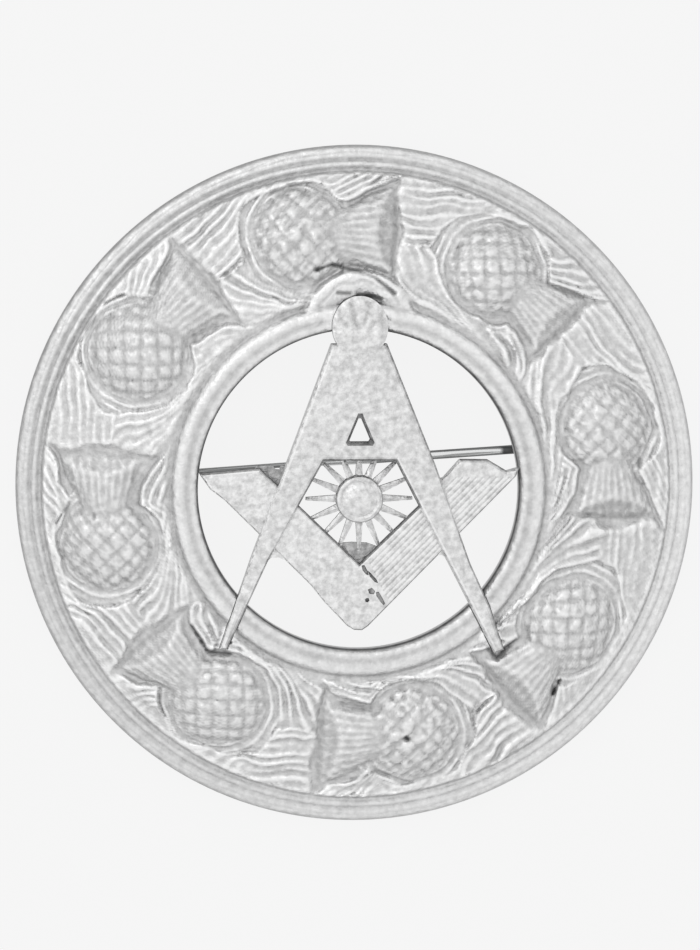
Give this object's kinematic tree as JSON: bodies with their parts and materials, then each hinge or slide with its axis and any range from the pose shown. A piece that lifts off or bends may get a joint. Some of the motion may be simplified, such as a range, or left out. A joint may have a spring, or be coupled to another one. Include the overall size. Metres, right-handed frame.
{
  "type": "masonic thistle plaid brooch (kilt pin)",
  "caption": "Round cast silver-coloured plaid brooch: a domed ring of thistles and leaves around pierced compasses and square, with a hinged pin behind.",
  "frame": {"origin": "middle of the ring, in the flat plane of the outer rim's foot that the brooch lies on", "axes": "+Z out of the face, +Y towards the head of the compasses, +X to the right as seen from the face"},
  "size_m": [0.076, 0.076, 0.0086],
  "materials": {
    "cast_silver_plate": "satin silver plate over a zinc casting, soft matt in the recesses and bright on the rims and high points",
    "frosted_silver_plate": "finely frosted silver plate over a zinc casting, with polished edges",
    "bright_steel": "smooth bright nickel-plated steel"
  },
  "bodies": {
    "brooch": {"thistle_ring": "cast_silver_plate", "emblem": "frosted_silver_plate", "pin_hinge": "bright_steel", "hinge_rivet": "bright_steel", "pin_catch": "bright_steel"},
    "pin": {"pin_stem": "bright_steel"}
  },
  "joints": [
    {"name": "pin_swing", "type": "hinge", "parent": "brooch", "child": "pin", "pos_m": [0.02386, 0.00449, 0.0016], "axis": [0.0593, -0.9982, 0], "range_deg": [0, 80]}
  ]
}
